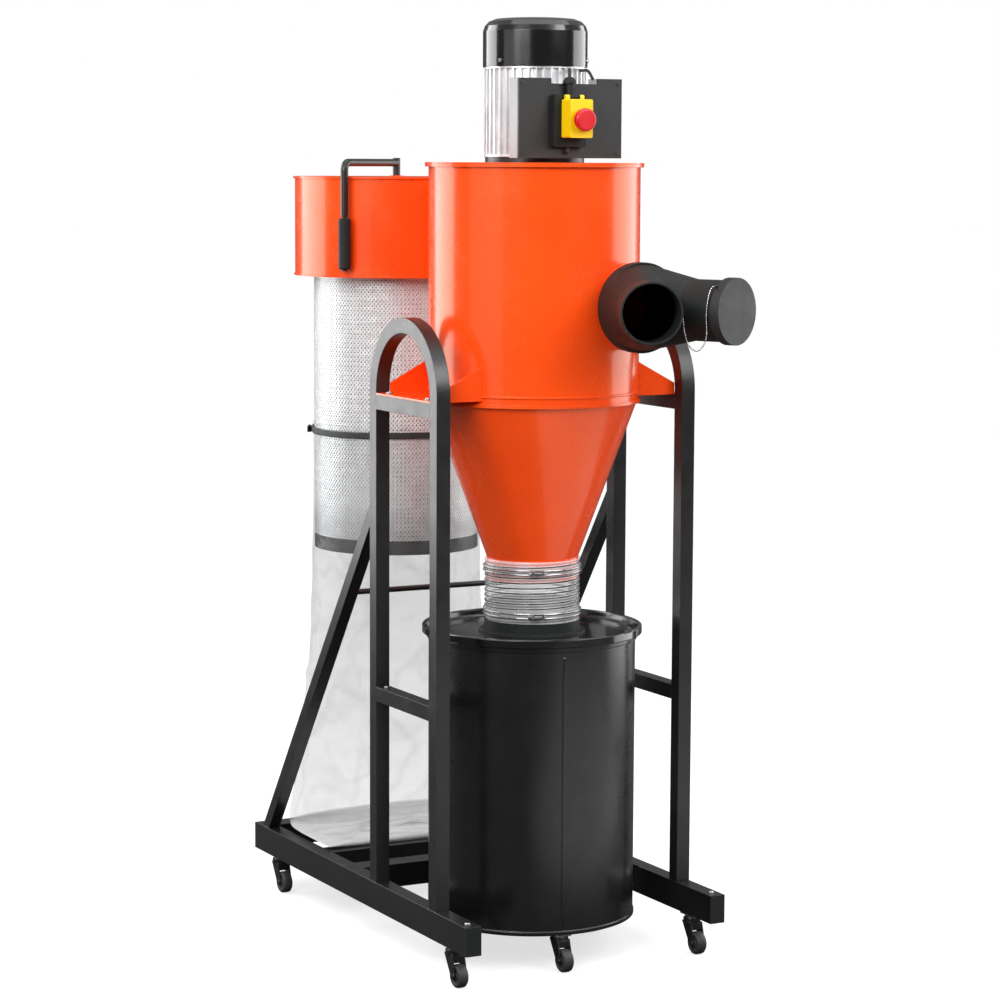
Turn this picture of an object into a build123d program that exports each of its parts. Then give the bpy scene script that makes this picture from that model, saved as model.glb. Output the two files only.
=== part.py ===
from build123d import *
from math import atan2, cos, degrees, pi, radians, sin, tan
import os

os.makedirs("parts", exist_ok=True)

# Two-stage cyclone dust collector on a castored frame.  Millimetres, +Z up.
# The cyclone axis is x = 0, y = 0 while the pieces are built; everything is
# then moved by FRONT_SHIFT so the origin is the middle of the footprint box
# on the floor.

# ---------------------------------------------------------------- sizes
# base and frame
CASTER_H = 67.7            # floor to underside of the beams
BEAM_X, BEAM_W, BEAM_H = 236.0, 28.0, 49.0
BEAM_FRONT, BEAM_REAR = -241.0, 641.0
BEAM_WALL = 2.0
CROSS_W, CROSS_H = 42.0, 42.0
CROSS_FRONTS = (214.5, 347.4, 599.0)      # front face of each crossbeam
TUBE, TUBE_WALL = 25.4, 1.6               # hoops and crossbars
LEG_FRONT, LEG_REAR = -113.0, 119.0
HOOP_TOP = 1107.7
UPPER_BAR_TOP, LOWER_BAR_TOP = 971.3, 463.5
BRACE = 22.0
BRACE_SLOPE = 1.40                        # fall per unit run of the braces
BRACE_Y, BRACE_Z = 252.6, 596.0           # a point on the brace centre line
TIE_Y, TIE_Z, TIE_R = 243.5, 610.0, 5.0

# cyclone
BARREL_R, SHEET = 181.0, 2.0
BARREL_Z0, BARREL_Z1 = 963.2, 1365.0
RIM_R, LOW_RIM_R = 187.0, 184.5
TOP_PLATE_T = 2.6
DIVIDER_Z = 1226.0
VORTEX_R, VORTEX_Z0 = 76.0, 1010.0
CONE_TOP_R, CONE_BOT_R, CONE_BOT_Z = 178.0, 79.5, 692.0
OUTLET_R, OUTLET_Z0 = 79.5, 652.0

# motor and fan
MOUNT_R, MOUNT_Z1 = 84.5, 1377.0
MOTOR_R, FIN_ROOT_R, MOTOR_Z1 = 86.6, 80.0, 1528.0
COVER_R, COVER_Z0, COVER_Z1 = 89.0, 1529.0, 1610.0
SHAFT_R = 9.0
RUNNING = 0.05                            # radial gap of a turning shaft

# inlet
INLET_X, INLET_Z = 98.0, 1127.0
SPIGOT_R = 73.5
SOCKET_R = 76.0
WYE_ROOT_Y = -186.0
ARM_ANGLE = 23.9                          # each arm from straight ahead
ARM_R, ARM_BORE, ARM_L = 51.0, 47.8, 195.0
NECK, SOCKET_BACK = 118.0, -182.3        # end of the taper; rear face of the socket
CAP_R, CAP_LEN, CAP_FACE = 55.5, 17.0, 3.0
CLEAR = 0.3

# drum
DRUM_R, DRUM_WALL = 179.4, 1.6
DRUM_Z0, DRUM_Z1 = 63.0, 558.6
LID_R, LID_Z0, LID_Z1 = 190.7, 559.0, 573.4
COLLAR_R = 79.5
HOSE_R, HOSE_BORE = 83.0, 79.8
HOSE_Z0, HOSE_Z1 = 583.0, 690.0

# filter
FILTER_Y = 540.0
HOUSING_R, HOUSING_Z0, HOUSING_Z1 = 189.5, 1157.7, 1340.5
HOUSING_RIM_R = 192.5
DUCT_X0, DUCT_X1 = -20.0, 150.0           # the duct leaves the fan chamber off to the right
DUCT_Z0, DUCT_Z1 = 1244.0, 1334.0
ELEMENT_R, ELEMENT_BORE = 155.0, 126.0
RING_Z0, RING_Z1 = 647.0, 672.0
BAG_STRAP_Z = 868.0
BAG_WALL = 1.6
CRANK_REACH, CRANK_ROD = 205.0, 7.0
CRANK_Z = 1366.0
CRANK_DIR = atan2(-0.60, -0.80)
GRIP_R, GRIP_Z0, GRIP_Z1 = 11.3, 1173.5, 1266.0

# casters
WHEEL_R, WHEEL_W, AXLE_R = 20.0, 18.0, 3.0
TRAIL = 18.0
FRAME_CASTERS = [(x, y) for x in (-232.5, 232.5) for y in (-163.0, 560.0)]
PLATE_T, RACE_H, STEM_R = 2.5, 3.0, 3.5
DRUM_CASTER_R = 162.0
DRUM_CASTER_ANGLES = (-100.5, 19.5, 139.5)

BEAM_Z0 = CASTER_H
BEAM_Z1 = CASTER_H + BEAM_H
CAP_DIR = (sin(radians(ARM_ANGLE)), -cos(radians(ARM_ANGLE)))
FRONT_EDGE = (WYE_ROOT_Y + CAP_DIR[1] * (ARM_L + CAP_FACE + 1.0)
              - CAP_R * sin(radians(ARM_ANGLE)))
REAR_EDGE = FILTER_Y + HOUSING_RIM_R
FRONT_SHIFT = -(FRONT_EDGE + REAR_EDGE) / 2


# ---------------------------------------------------------------- helpers
def save(name, *pieces):
    solids = []
    for piece in pieces:
        solids.extend(piece.solids())
    moved = [Pos(0, FRONT_SHIFT, 0) * s for s in solids]
    shape = moved[0] if len(moved) == 1 else Compound(children=moved)
    export_step(shape, f"parts/{name}.step")


def box(x0, x1, y0, y1, z0, z1):
    return Pos((x0 + x1) / 2, (y0 + y1) / 2, (z0 + z1) / 2) * Box(x1 - x0, y1 - y0, z1 - z0)


def rod(r, z0, z1, x=0.0, y=0.0):
    return Pos(x, y, (z0 + z1) / 2) * Cylinder(r, z1 - z0)


def ring(r1, r0, z0, z1, x=0.0, y=0.0):
    return rod(r1, z0, z1, x, y) - rod(r0, z0 - 1, z1 + 1, x, y)


def rod_between(p, q, r):
    d = Vector(*q) - Vector(*p)
    plane = Plane(origin=p, z_dir=d)
    return extrude(plane * Circle(r), d.length)


def across(r, y0, y1):
    """A cylinder along the inlet, from y0 to y1."""
    return Pos(INLET_X, (y0 + y1) / 2, INLET_Z) * Rot(90, 0, 0) * Cylinder(r, abs(y1 - y0))


def turned(points, x=0.0, y=0.0):
    """A solid of revolution about the vertical axis at x, y; points are (r, z)."""
    profile = make_face(Polyline(*[(r, 0, z) for r, z in points], close=True))
    return Pos(x, y, 0) * revolve(profile, Axis.Z)


def bolt(x, y, z, r=6.0, h=4.0):
    """A domed bolt head standing on a face at height z."""
    head = rod(r, z, z + h, x, y)
    return chamfer(head.edges().sort_by(Axis.Z)[-1], h * 0.45)


def cable(points, r):
    """Round cable: straight runs joined by tangent bends."""
    pts = [Vector(*p) for p in points]
    radii = []
    for a, b, c in zip(pts, pts[1:], pts[2:]):
        u, v = (b - a), (c - b)
        turn = radians(u.get_angle(v))
        radii.append(0.45 * min(u.length, v.length) / tan(turn / 2))
    path = FilletPolyline(*pts, radius=radii)
    start = Plane(origin=path @ 0, z_dir=path % 0)
    return sweep(start * Circle(r), path)


# ---------------------------------------------------------------- base
def beam(x):
    ends = 2.0
    outer = box(x - BEAM_W / 2, x + BEAM_W / 2, BEAM_FRONT + ends, BEAM_REAR - ends,
                BEAM_Z0, BEAM_Z1)
    w = BEAM_WALL
    inner = box(x - BEAM_W / 2 + w, x + BEAM_W / 2 - w, BEAM_FRONT, BEAM_REAR,
                BEAM_Z0 + w, BEAM_Z1 - w)
    return outer - inner


def end_cap(x, y, inward):
    plate = box(x - BEAM_W / 2, x + BEAM_W / 2, min(y, y + 2 * inward),
                max(y, y + 2 * inward), BEAM_Z0, BEAM_Z1)
    w = BEAM_WALL
    a, b = sorted((y + 2 * inward, y + 14 * inward))
    plug = box(x - BEAM_W / 2 + w, x + BEAM_W / 2 - w, a, b, BEAM_Z0 + w, BEAM_Z1 - w)
    core = box(x - BEAM_W / 2 + 5, x + BEAM_W / 2 - 5, a - 1, b + 1, BEAM_Z0 + 5, BEAM_Z1 - 5)
    return plate + (plug - core)


save("left_base_beam", beam(-BEAM_X))
save("right_base_beam", beam(BEAM_X))
save("beam_end_caps", *[end_cap(s * BEAM_X, y, d) for s in (-1, 1)
                        for y, d in ((BEAM_FRONT, 1), (BEAM_REAR, -1))])

inner_x = BEAM_X - BEAM_W / 2
crossbeams = []
for front in CROSS_FRONTS:
    z0, z1 = BEAM_Z1 - CROSS_H, BEAM_Z1
    tube = box(-inner_x, inner_x, front, front + CROSS_W, z0, z1)
    hollow = box(-inner_x - 1, inner_x + 1, front + 2, front + CROSS_W - 2, z0 + 2, z1 - 2)
    crossbeams.append(tube - hollow)
save("crossbeams", *crossbeams)

# hoops: two legs and a half-round top bent from one square tube
hoop_r = (LEG_REAR - LEG_FRONT) / 2
hoop_cy = (LEG_REAR + LEG_FRONT) / 2
hoop_cz = HOOP_TOP - TUBE / 2 - hoop_r


def hoop(x):
    p0, p1 = (x, LEG_FRONT, BEAM_Z1), (x, LEG_FRONT, hoop_cz)
    p2 = (x, hoop_cy, hoop_cz + hoop_r)
    p3, p4 = (x, LEG_REAR, hoop_cz), (x, LEG_REAR, BEAM_Z1)
    path = Wire([Line(p0, p1), ThreePointArc(p1, p2, p3), Line(p3, p4)])
    base = Plane(origin=p0, x_dir=(1, 0, 0), z_dir=(0, 0, 1))
    section = Rectangle(TUBE, TUBE) - Rectangle(TUBE - 2 * TUBE_WALL, TUBE - 2 * TUBE_WALL)
    return sweep(base * section, path)


save("left_hoop", hoop(-BEAM_X))
save("right_hoop", hoop(BEAM_X))


def crossbar(x, top):
    y0, y1 = LEG_FRONT + TUBE / 2, LEG_REAR - TUBE / 2
    t = TUBE_WALL
    tube = box(x - TUBE / 2, x + TUBE / 2, y0, y1, top - TUBE, top)
    return tube - box(x - TUBE / 2 + t, x + TUBE / 2 - t, y0 - 1, y1 + 1,
                      top - TUBE + t, top - t)


save("hoop_crossbars", *[crossbar(s * BEAM_X, top) for s in (-1, 1)
                         for top in (UPPER_BAR_TOP, LOWER_BAR_TOP)])


def brace(x):
    """Sloping square tube from the rear leg down to the base beam, ends mitred flush."""
    lean = degrees(atan2(1.0, BRACE_SLOPE))
    t = TUBE_WALL
    tube = Box(BRACE, BRACE, 1300) - Box(BRACE - 2 * t, BRACE - 2 * t, 1302)
    placed = Pos(x, BRACE_Y, BRACE_Z) * Rot(lean, 0, 0) * tube
    keep = box(x - 30, x + 30, LEG_REAR + TUBE / 2, BEAM_REAR, BEAM_Z1, 1000)
    return placed & keep


save("diagonal_braces", brace(-BEAM_X), brace(BEAM_X))
save("brace_tie_bar", rod_between((-BEAM_X + BRACE / 2, TIE_Y, TIE_Z),
                                  (BEAM_X - BRACE / 2, TIE_Y, TIE_Z), TIE_R))

# ---------------------------------------------------------------- cyclone
barrel = turned([
    (BARREL_R - SHEET, BARREL_Z0), (LOW_RIM_R, BARREL_Z0), (LOW_RIM_R, BARREL_Z0 + 2.8),
    (BARREL_R, BARREL_Z0 + 2.8), (BARREL_R, 976.0), (BARREL_R + 2, 977.2),
    (BARREL_R + 2, 979.4), (BARREL_R, 980.6), (BARREL_R, BARREL_Z1 - 5),
    (RIM_R, BARREL_Z1 - 5), (RIM_R, BARREL_Z1), (BARREL_R - SHEET, BARREL_Z1)])
inlet_tube, inlet_bore = across(SPIGOT_R, 0, -198), across(SPIGOT_R - 1.5, 0, -200)
spigot = inlet_tube - rod(BARREL_R - SHEET, 900, 1300)
barrel = (barrel + spigot) - inlet_bore
duct_hole = box(DUCT_X0 + 2, DUCT_X1 - 2, 60, 200, DUCT_Z0 + 2, DUCT_Z1 - 2)
barrel = barrel - duct_hole
save("cyclone_barrel", barrel)

save("cyclone_top_plate", ring(RIM_R, 14.0, BARREL_Z1, BARREL_Z1 + TOP_PLATE_T))
MOUNT_Z0 = BARREL_Z1 + TOP_PLATE_T

divider = ring(BARREL_R - SHEET, VORTEX_R - 1.5, DIVIDER_Z, DIVIDER_Z + 2.5)
vortex = ring(VORTEX_R, VORTEX_R - 1.5, VORTEX_Z0, DIVIDER_Z)
save("vortex_tube", divider + vortex)

cone_slope_z = BARREL_Z0 - 2.6              # where the straight rim ends and the cone starts
cone = turned([
    (LOW_RIM_R, BARREL_Z0), (LOW_RIM_R, cone_slope_z), (CONE_TOP_R, cone_slope_z),
    (CONE_BOT_R, CONE_BOT_Z), (OUTLET_R, OUTLET_Z0), (OUTLET_R - 2, OUTLET_Z0),
    (CONE_BOT_R - 2, CONE_BOT_Z), (CONE_TOP_R - 2, cone_slope_z + 1),
    (CONE_TOP_R - 2, BARREL_Z0)])
save("cyclone_cone", cone)


def bracket(side):
    """Shelf plate on the upper crossbar with a rib at each end, welded to the barrel."""
    z0 = UPPER_BAR_TOP
    x_in, x_out = 100.0, BEAM_X + TUBE / 2
    y0, y1 = LEG_FRONT + TUBE / 2, LEG_REAR - TUBE / 2
    plate = box(x_in, x_out, y0, y1, z0, z0 + 3)
    rib_face = make_face(Polyline((x_in, 0, z0 + 3), (222.5, 0, z0 + 3), (222.5, 0, z0 + 20),
                                  (x_in, 0, z0 + 85), close=True))
    ribs = [Pos(0, y, 0) * extrude(rib_face, 3, dir=(0, 1, 0)) for y in (y0, y1 - 3)]
    body = plate + ribs[0] + ribs[1]
    body = body - rod(BARREL_R, 900, 1200) - rod(BARREL_R + 2.05, 975.9, 980.7)
    body = body - rod(LOW_RIM_R + 0.1, 900, BARREL_Z0 + 2.9)
    return body if side > 0 else mirror(body, Plane.YZ)


save("mount_brackets", bracket(-1), bracket(1))

screws = []
for s in (-1, 1):
    for y in (-70.0, 78.0):
        screws.append(bolt(s * BEAM_X, y, UPPER_BAR_TOP + 3))
    for y in (-84.0, 90.0):
        screws.append(bolt(s * BEAM_X, y, LOWER_BAR_TOP, 4.5, 3.0))
    for y in (-218.0, 618.0):
        screws.append(bolt(s * BEAM_X, y, BEAM_Z1, 5.0, 3.0))

# ---------------------------------------------------------------- motor and fan
save("motor_mount", ring(MOUNT_R, 14.0, MOUNT_Z0, MOUNT_Z1))

fins = Circle(FIN_ROOT_R)
for i in range(40):
    fins += Rot(0, 0, i * 9.0) * Pos((FIN_ROOT_R + MOTOR_R) / 2 - 1, 0) * Rectangle(
        MOTOR_R - FIN_ROOT_R + 2, 3.2)
motor = Pos(0, 0, MOUNT_Z1) * extrude(fins, MOTOR_Z1 - MOUNT_Z1)
motor = motor + rod(MOTOR_R, MOUNT_Z1, MOUNT_Z1 + 4) + rod(MOTOR_R, MOTOR_Z1 - 3, MOTOR_Z1)
motor = motor + box(-26, 26, -92, -70, 1395, 1490)
motor = motor - rod(46, 1398, 1502) - rod(SHAFT_R + RUNNING, 1370, 1540)
save("motor_body", motor)

cover = turned([(COVER_R - 2, COVER_Z0), (COVER_R, COVER_Z0), (COVER_R, COVER_Z1 - 22),
                (COVER_R - 3, COVER_Z1 - 13), (COVER_R - 10, COVER_Z1 - 5.5),
                (COVER_R - 22, COVER_Z1 - 1), (COVER_R - 34, COVER_Z1), (0, COVER_Z1),
                (0, COVER_Z1 - 2), (COVER_R - 35, COVER_Z1 - 2),
                (COVER_R - 23, COVER_Z1 - 3.2), (COVER_R - 11.5, COVER_Z1 - 7.5),
                (COVER_R - 5, COVER_Z1 - 14.5), (COVER_R - 2, COVER_Z1 - 23)])
slot = box(18, 46, -2, 2, COVER_Z1 - 10, COVER_Z1 + 5)
for i in range(16):
    cover = cover - Rot(0, 0, i * 22.5) * slot
lip = ring(COVER_R, MOTOR_R - 4, MOTOR_Z1, COVER_Z0)
save("fan_cover", cover + lip)

for a in (-159, -39, 81):
    screws.append(Rot(0, 0, a) * rod_between((COVER_R, 0, 1538), (COVER_R + 2.2, 0, 1538), 3.2))
save("screws_and_bolts", *screws)

rotor = rod(45.5, 1400, 1500) + rod(SHAFT_R, 1238, 1572)
save("motor_rotor", rotor)
fan = ring(14, SHAFT_R, 1540, 1566)
for i in range(7):
    fan = fan + Rot(0, 0, i * 360 / 7) * Pos(42, 0, 1553) * Rot(0, 12, 0) * Box(60, 2.5, 22)
fan = fan - rod(SHAFT_R, 1500, 1600)
save("cooling_fan", fan)
wheel = ring(26, SHAFT_R, 1242, 1316) + ring(150, SHAFT_R, 1313, 1316)
for i in range(8):
    blade = box(20, 148, -1.5, 1.5, 1250, 1314)
    wheel = wheel + Rot(0, 0, i * 45) * blade
save("impeller", wheel - rod(SHAFT_R, 1200, 1400))

# electrical box, switch and its leads
box_y0, box_y1 = -125.0, -92.0
shell = box(-98, 98, box_y0, box_y1, 1375, 1507)
shell = shell - box(-37, 52, -130, -90, 1498, 1510)
hollow = box(-96, 96, box_y0 + 2, box_y1 - 2, 1377, 1496)
box_screws = [rod_between((x, box_y0, z), (x, box_y0 - 2, z), 3.0)
              for x in (-90, 90) for z in (1383, 1499)]
save("electrical_box", shell - hollow, *box_screws)

base_y = -139.0
base = box(-38, 22, base_y, box_y0, 1393.5, 1480)
base = fillet(base.edges().filter_by(Axis.Y), 3)
base = base - rod_between((-4, base_y - 1, 1424), (-4, base_y + 9, 1424), 7.0)
hinge_y, hinge_z = base_y - 5.0, 1476.0
lug = rod_between((-13.6, hinge_y, hinge_z), (5.6, hinge_y, hinge_z), 3.5)
lug = lug + box(-13.6, 5.6, hinge_y, base_y, hinge_z - 2.8, hinge_z + 2.8)
pin = rod_between((-21, hinge_y, hinge_z), (13, hinge_y, hinge_z), 1.2)

flap = box(-25, 17, -170, base_y - CLEAR, 1408.4, 1471.8)
flap = fillet(flap.edges().filter_by(Axis.Y), 3)
flap = flap - box(-22.5, 14.5, -167.5, base_y + 1, 1411, 1469.3)
for x0, x1 in ((-21.5, -13.9), (5.9, 13.5)):
    ear = rod_between((x0, hinge_y, hinge_z), (x1, hinge_y, hinge_z), 3.5)
    ear = ear + box(x0, x1, hinge_y - 3, hinge_y + 3, 1470, hinge_z)
    flap = flap + ear
flap = flap - rod_between((-25, hinge_y, hinge_z), (17, hinge_y, hinge_z), 1.25)
flap = flap - rod_between((-4, -180, 1438), (-4, -160, 1438), 9.0)
save("switch_flap", flap)

head = rod_between((-4, -187.5, 1438), (-4, -178, 1438), 19.0)
head = fillet(head.edges().sort_by(Axis.Y)[0], 4.0)
stem = rod_between((-4, -178, 1438), (-4, -162, 1438), 8.7)
save("stop_button", head + stem)
start = rod_between((-4, base_y - 5, 1424), (-4, base_y + 5, 1424), 6.7)
save("start_button", start)

gland = rod(7, 1480, 1498.2, -5.5, -132.0)
dome = Pos(-5.5, -130.0, 1498.2) * (Sphere(11.5) & Pos(0, 0, 10) * Box(40, 40, 20))
save("switch_base", base + lug + pin, gland + dome)
save("motor_leads",
     cable([(-5.5, -130.0, 1509.7), (-5.5, -130.0, 1516.0), (2.0, -116.0, 1521.0),
            (20.2, -84.3, 1521.0)], 2.5),
     cable([(49, -71.6, 1522.0), (49, -97.0, 1522.0), (49, -112.0, 1507.0)], 2.5),
     cable([(-10, -132.0, 1393.5), (-10, -132.0, 1384.0), (-10, -125.0, 1384.0)], 2.5))


# ---------------------------------------------------------------- inlet wye and cap
def arm(side, r_root, r_end, length):
    """One arm of the wye: a cone from the root, then a round port."""
    along = Vector(side * sin(radians(ARM_ANGLE)), -cos(radians(ARM_ANGLE)), 0)
    frame = Plane(origin=(INLET_X, WYE_ROOT_Y, INLET_Z), x_dir=(0, 0, 1), z_dir=along)
    taper = frame * Pos(0, 0, NECK / 2) * Cone(r_root, r_end, NECK)
    return taper + frame * Pos(0, 0, (NECK + length) / 2) * Cylinder(r_end, length - NECK)


wye = arm(-1, SOCKET_R, ARM_R, ARM_L) + arm(1, SOCKET_R, ARM_R, ARM_L)
wye = wye + across(SOCKET_R, SOCKET_BACK, -202)
wye = wye - box(-100, 300, SOCKET_BACK, 0, 1000, 1250)
bore = arm(-1, SPIGOT_R, ARM_BORE, ARM_L + 5) + arm(1, SPIGOT_R, ARM_BORE, ARM_L + 5)
bore = bore + across(SPIGOT_R, -170, -202)
tab = box(97, 99, -316, -303, 1134, 1144)
save("inlet_wye", (wye + tab) - bore)

cap_d = Vector(*CAP_DIR, 0)
cap_root = Vector(INLET_X, WYE_ROOT_Y, INLET_Z)
cap_out = cap_root + cap_d * (ARM_L + 1.0 + CAP_FACE)
cap_in = cap_root + cap_d * (ARM_L + 1.0 + CAP_FACE - CAP_LEN)
cap = rod_between(tuple(cap_in), tuple(cap_out), CAP_R)
pocket = rod_between(tuple(cap_in - cap_d * 1), tuple(cap_root + cap_d * (ARM_L + 1.0)),
                     ARM_R + CLEAR)
lug_at = [cap_root + cap_d * 186.0 + (Vector(cap_d.Y, -cap_d.X, 0) + Vector(0, 0, 1)) * r
          for r in (38.8, 44.0)]
lug_pin = rod_between(tuple(lug_at[0]), tuple(lug_at[1]), 2.2)
save("port_cap", (cap + lug_pin) - pocket)

# bead chain from a tab in the crotch of the wye, hanging in front of the capped arm
def by_arm(along, aside, z):
    """A point beside the capped arm: distance along it, distance toward the front left."""
    dx, dy = CAP_DIR
    return (INLET_X + along * dx + aside * dy, WYE_ROOT_Y + along * dy - aside * dx, z)


chain_path = [(98.0, -316.3, 1139.0), (98.0, -326.0, 1139.0), (101.0, -332.0, 1078.0),
              (112.0, -352.0, 1058.0), by_arm(172, 46, 1080), by_arm(175, 56.5, 1127),
              by_arm(174.5, 43, 1169.4), by_arm(183.5, 43, 1169.4)]
save("cap_chain", cable(chain_path, 1.6))

# ---------------------------------------------------------------- drum, lid and hose
drum = turned([
    (0, DRUM_Z0), (DRUM_R - 2, DRUM_Z0), (DRUM_R + 1.6, DRUM_Z0 + 1.5),
    (DRUM_R + 1.6, DRUM_Z0 + 7), (DRUM_R, DRUM_Z0 + 8.5), (DRUM_R, DRUM_Z1 - 9),
    (DRUM_R + 3, DRUM_Z1 - 7.5), (DRUM_R + 3, DRUM_Z1), (DRUM_R - DRUM_WALL, DRUM_Z1),
    (DRUM_R - DRUM_WALL, DRUM_Z0 + 2), (0, DRUM_Z0 + 2)])
save("drum_body", drum)

lid = turned([
    (COLLAR_R - 6, LID_Z0 + 0.1), (LID_R - 1.5, LID_Z0 + 0.1), (LID_R, LID_Z0 + 1.5),
    (LID_R, LID_Z1 - 1.5), (LID_R - 1.5, LID_Z1), (LID_R - 6, LID_Z1),
    (LID_R - 7.5, LID_Z1 - 2), (LID_R - 9, LID_Z0 + 5), (LID_R - 14, LID_Z0 + 2.1),
    (COLLAR_R - 6, LID_Z0 + 2.1)])
save("drum_lid", lid)
collar = turned([(COLLAR_R - 5, LID_Z0 + 2.1), (COLLAR_R + 13, LID_Z0 + 2.1),
                 (COLLAR_R + 13, LID_Z0 + 5), (COLLAR_R + 3.4, LID_Z0 + 6),
                 (COLLAR_R + 3.4, HOSE_Z0), (COLLAR_R, HOSE_Z0), (COLLAR_R, 612),
                 (COLLAR_R - 2.5, 612), (COLLAR_R - 5, LID_Z0 + 8)])
save("lid_collar", collar)
save("drum_hose", ring(HOSE_R, HOSE_BORE, HOSE_Z0, HOSE_Z1))


def hose_clamp(z, turn):
    band = ring(HOSE_R + 1.1, HOSE_R, z - 6, z + 6)
    block = Pos(HOSE_R + 5, 0, z) * Box(10, 22, 11)
    block = block - ring(HOSE_R + 1.1, HOSE_R - 10, z - 10, z + 10)
    worm = rod_between((HOSE_R + 6, -17, z), (HOSE_R + 6, 17, z), 3.6)
    return Rot(0, 0, turn) * (band + (block + worm))


CLAMP_TURN = -112.0
save("upper_hose_clamp", hose_clamp(672.0, CLAMP_TURN))
save("lower_hose_clamp", hose_clamp(597.0, CLAMP_TURN))

# ---------------------------------------------------------------- filter side
fy = FILTER_Y
housing = turned([
    (ELEMENT_BORE, HOUSING_Z0), (HOUSING_RIM_R - 1, HOUSING_Z0),
    (HOUSING_RIM_R - 1, HOUSING_Z0 + 3), (HOUSING_R, HOUSING_Z0 + 3), (HOUSING_R, HOUSING_Z1 - 4),
    (HOUSING_RIM_R, HOUSING_Z1 - 4), (HOUSING_RIM_R, HOUSING_Z1), (CRANK_ROD + 5, HOUSING_Z1),
    (CRANK_ROD + 5, HOUSING_Z1 + 2), (CRANK_ROD + RUNNING, HOUSING_Z1 + 2),
    (CRANK_ROD + RUNNING, HOUSING_Z1 - 3), (HOUSING_R - 2, HOUSING_Z1 - 3),
    (HOUSING_R - 2, HOUSING_Z0 + 3), (ELEMENT_BORE, HOUSING_Z0 + 3)], 0, fy)
mouth = box(DUCT_X0 + 2, DUCT_X1 - 2, fy - 200, fy - 70, DUCT_Z0 + 2, DUCT_Z1 - 2)
save("filter_housing", housing - mouth)

duct = box(DUCT_X0, DUCT_X1, 95, fy - 100, DUCT_Z0, DUCT_Z1)
duct = duct - box(DUCT_X0 + 2, DUCT_X1 - 2, 50, fy, DUCT_Z0 + 2, DUCT_Z1 - 2)
duct = duct - rod(BARREL_R, 1200, 1364) - rod(HOUSING_R, 1200, 1364, 0, fy)
save("outlet_duct", duct)

save("filter_element", ring(ELEMENT_R, ELEMENT_R - 8, RING_Z1, HOUSING_Z0, 0, fy))
save("filter_end_ring", ring(ELEMENT_R - 1, ELEMENT_BORE - 4, RING_Z0, RING_Z1, 0, fy))


def bag_skin(inset):
    """Hanging bag: round at the strap, flattening into a tail that lies on the base."""
    def flat(z, a, b, y):
        return Plane(origin=(0, y, z), x_dir=(1, 0, 0), z_dir=(0, 0, -1)) * Ellipse(
            a - inset, b - inset)

    def leaning(y, z, lean, a, t):
        zdir = (0, -sin(radians(lean)), -cos(radians(lean)))
        return Plane(origin=(0, y, z), x_dir=(1, 0, 0), z_dir=zdir) * Ellipse(
            a - inset, t - inset)

    top = BAG_STRAP_Z + 14 + inset
    sections = [flat(top, 157.6, 157.6, fy), flat(BAG_STRAP_Z - 14, 157.6, 157.6, fy),
                flat(RING_Z0 - 20, 161, 160, fy),
                flat(480, 170, 148, fy), flat(340, 190, 124, fy), flat(225, 214, 88, fy + 4),
                leaning(fy + 6, 162, 25, 218, 46), leaning(fy - 25, 132, 66, 220, 14),
                leaning(fy - 75, 123.4, 87, 220, 6.4),
                leaning(fy - 172 + inset, 121.4, 90, 220, 4.2)]
    return loft(sections, ruled=True)


save("dust_bag", bag_skin(0.0) - bag_skin(BAG_WALL))
strap = ring(160.0, 157.7, BAG_STRAP_Z - 6, BAG_STRAP_Z + 6, 0, fy)
BUCKLE_TURN = 155.0
buckle = Pos(0, fy, BAG_STRAP_Z) * Rot(0, 0, BUCKLE_TURN) * Pos(163, 0, 0) * Box(9, 20, 13)
buckle = buckle - rod(157.7, 800, 900, 0, fy)
save("bag_strap", strap + buckle)

# crank with its shaft, and the cleaning paddles inside the element
cx, cy = cos(CRANK_DIR), sin(CRANK_DIR)
elbow = 14.0
p_post = (0, fy, CRANK_Z)
p_end = (CRANK_REACH * cx, fy + CRANK_REACH * cy, CRANK_Z)
down = FilletPolyline(p_post, p_end, (p_end[0], p_end[1], GRIP_Z1 + 2), radius=elbow)
arm_rod = sweep(Plane(origin=down @ 0, z_dir=down % 0) * Circle(CRANK_ROD), down)
post = rod(CRANK_ROD, 690, CRANK_Z + 9, 0, fy)
grip_pin = rod(4.0, GRIP_Z0 - 3, GRIP_Z1 + 3, p_end[0], p_end[1])
washer = rod(7.0, GRIP_Z0 - 3, GRIP_Z0 - 1, p_end[0], p_end[1])
paddles = ring(11, CRANK_ROD, 700, 1130, 0, fy)
for a in (CRANK_DIR, CRANK_DIR + pi):
    blade = Pos(0, fy, 915) * Rot(0, 0, degrees(a)) * Pos(64, 0, 0) * Box(112, 3, 420)
    paddles = paddles + blade
save("filter_crank", arm_rod + post + grip_pin + washer,
     paddles - rod(CRANK_ROD, 600, 1200, 0, fy))
grip = ring(GRIP_R, 4.0 + RUNNING, GRIP_Z0, GRIP_Z1, p_end[0], p_end[1])
grip = fillet(grip.edges().filter_by(GeomType.CIRCLE).group_by(SortBy.RADIUS)[-1], 3)
save("crank_grip", grip)


# ---------------------------------------------------------------- casters
def plate(x, y, top, long_side=46.0, wide=21.0):
    """Fixed caster plate with the upper race that the fork turns under."""
    flat = box(x - wide / 2, x + wide / 2, y - long_side / 2, y + long_side / 2, top - PLATE_T, top)
    race = rod(12.0, top - PLATE_T - RACE_H, top - PLATE_T, x, y)
    return flat + race - rod(STEM_R + RUNNING, 40, top - PLATE_T, x, y)


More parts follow.
